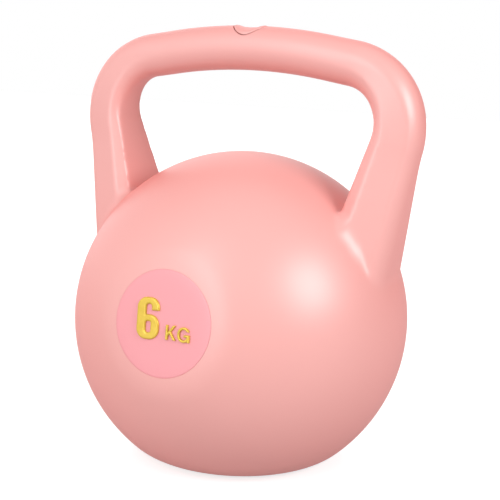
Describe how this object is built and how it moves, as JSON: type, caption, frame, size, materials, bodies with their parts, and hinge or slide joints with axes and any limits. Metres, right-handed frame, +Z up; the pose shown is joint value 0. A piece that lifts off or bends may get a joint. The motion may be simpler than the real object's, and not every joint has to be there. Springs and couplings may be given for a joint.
{
  "type": "kettlebell",
  "caption": "Plastic kettlebell: a flat-based ball with an arched handle, filled with set ballast, with a round weight label on its front.",
  "frame": {"origin": "centre of the flat base, on the floor under the middle of the ball", "axes": "+Z up, the handle runs along X, the weight label faces -Y"},
  "size_m": [0.1854, 0.1732, 0.2228],
  "materials": {
    "shell": "satin",
    "ballast": "matte",
    "plug": "satin",
    "label": "satin",
    "gold": "gloss"
  },
  "bodies": {
    "root": {"shell": "shell", "ballast": "ballast", "fill_plug": "plug", "weight_label": "label", "numeral_6": "gold", "letter_k": "gold", "letter_g": "gold"}
  },
  "joints": []
}
